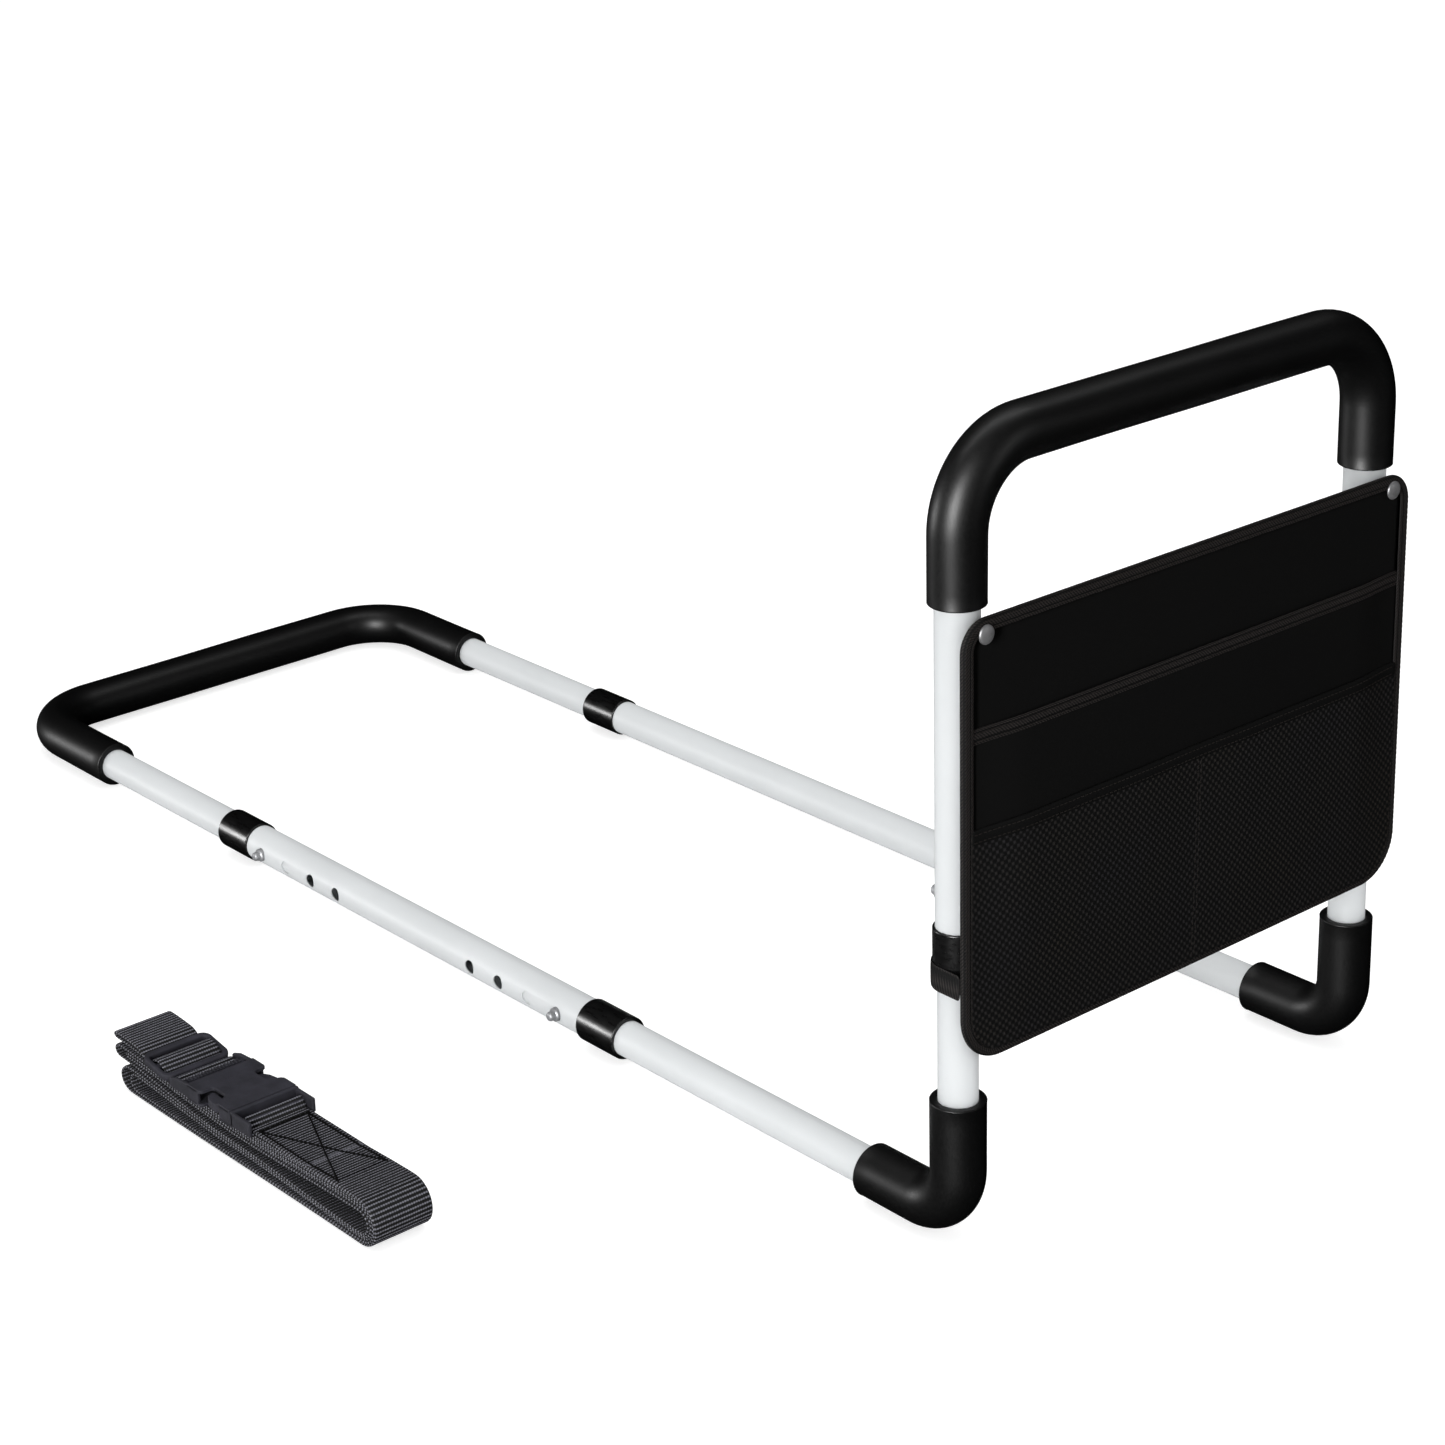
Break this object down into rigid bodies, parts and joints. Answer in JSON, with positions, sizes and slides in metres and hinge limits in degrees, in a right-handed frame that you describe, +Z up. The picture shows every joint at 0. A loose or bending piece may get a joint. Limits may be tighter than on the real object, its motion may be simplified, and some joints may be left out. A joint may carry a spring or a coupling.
{
  "type": "bed assist rail",
  "caption": "Bed assist rail: padded inverted-U grab handle with a cloth storage pocket, on a telescoping tube base that slides under the mattress, with a folded securing strap.",
  "frame": {"origin": "on the floor, in the plane of the handle, midway between the two uprights", "axes": "+Z up; +X away from the bed, so the base runs towards -X; +Y to the right of a person who stands at the bedside and faces the bed"},
  "size_m": [1.0897, 0.6153, 0.49],
  "materials": {
    "powder_coat": "satin",
    "foam": "satin",
    "collar_plastic": "gloss",
    "pin_steel": "polished",
    "spring_steel": "satin",
    "pocket_cloth": "matte",
    "pocket_mesh": "matte",
    "binding_tape": "matte",
    "rivet_metal": "polished",
    "webbing": "matte",
    "buckle_plastic": "satin"
  },
  "bodies": {
    "legs": {"leg_left": "powder_coat", "leg_right": "powder_coat", "leg_sleeve_left": "foam", "leg_sleeve_right": "foam", "leg_springs": "spring_steel"},
    "base": {"base_tube_left": "powder_coat", "base_tube_right": "powder_coat", "base_collar_leg_left": "collar_plastic", "base_collar_leg_right": "collar_plastic", "base_collar_end_left": "collar_plastic", "base_collar_end_right": "collar_plastic"},
    "end_frame": {"end_frame_tube": "powder_coat", "end_frame_grip": "foam", "end_springs": "spring_steel"},
    "handle": {"handle_tube": "powder_coat", "handle_grip": "foam", "handle_collar_left": "collar_plastic", "handle_collar_right": "collar_plastic", "pocket_back": "pocket_cloth", "pocket_front": "pocket_cloth", "pocket_mesh": "pocket_mesh", "pocket_binding": "binding_tape", "pocket_front_hem": "binding_tape", "pocket_mesh_hem": "binding_tape", "pocket_loop_left": "binding_tape", "pocket_loop_right": "binding_tape", "pocket_rivets": "rivet_metal"},
    "strap": {"strap_webbing": "webbing", "strap_slide": "buckle_plastic", "buckle_female": "buckle_plastic", "buckle_male": "buckle_plastic"},
    "upright_pin_left": {"upright_pin_left": "pin_steel"},
    "upright_pin_right": {"upright_pin_right": "pin_steel"},
    "leg_pin_left": {"leg_pin_left": "pin_steel"},
    "leg_pin_right": {"leg_pin_right": "pin_steel"},
    "end_pin_left": {"end_pin_left": "pin_steel"},
    "end_pin_right": {"end_pin_right": "pin_steel"}
  },
  "joints": [
    {"name": "base_length_leg_side", "type": "slide", "parent": "legs", "child": "base", "axis": [1, 0, 0], "range_m": [0, 0.093], "deforming": ["leg_pin_left", "leg_pin_right"]},
    {"name": "base_length_end_side", "type": "slide", "parent": "base", "child": "end_frame", "axis": [1, 0, 0], "range_m": [0, 0.093], "deforming": ["end_pin_left", "end_pin_right"]},
    {"name": "handle_height", "type": "slide", "parent": "legs", "child": "handle", "axis": [0, 0, 1], "range_m": [-0.062, 0], "deforming": ["upright_pin_left", "upright_pin_right"]},
    {"name": "strap_lift_off", "type": "slide", "parent": "legs", "child": "strap", "axis": [0, 0, 1], "range_m": [0, 0.15]},
    {"name": "upright_pin_press_left", "type": "slide", "parent": "legs", "child": "upright_pin_left", "axis": [1, 0, 0], "range_m": [0, 0.008], "stiffness_N_per_m": 600, "springref_m": -0.006, "deforming": ["leg_springs"]},
    {"name": "upright_pin_press_right", "type": "slide", "parent": "legs", "child": "upright_pin_right", "axis": [1, 0, 0], "range_m": [0, 0.008], "stiffness_N_per_m": 600, "springref_m": -0.006, "deforming": ["leg_springs"]},
    {"name": "leg_pin_press_left", "type": "slide", "parent": "legs", "child": "leg_pin_left", "axis": [0, 1, 0], "range_m": [0, 0.008], "stiffness_N_per_m": 600, "springref_m": -0.006, "deforming": ["leg_springs"]},
    {"name": "leg_pin_press_right", "type": "slide", "parent": "legs", "child": "leg_pin_right", "axis": [0, -1, 0], "range_m": [0, 0.008], "stiffness_N_per_m": 600, "springref_m": -0.006, "deforming": ["leg_springs"]},
    {"name": "end_pin_press_left", "type": "slide", "parent": "end_frame", "child": "end_pin_left", "axis": [0, 1, 0], "range_m": [0, 0.008], "stiffness_N_per_m": 600, "springref_m": -0.006, "deforming": ["end_springs"]},
    {"name": "end_pin_press_right", "type": "slide", "parent": "end_frame", "child": "end_pin_right", "axis": [0, -1, 0], "range_m": [0, 0.008], "stiffness_N_per_m": 600, "springref_m": -0.006, "deforming": ["end_springs"]}
  ]
}
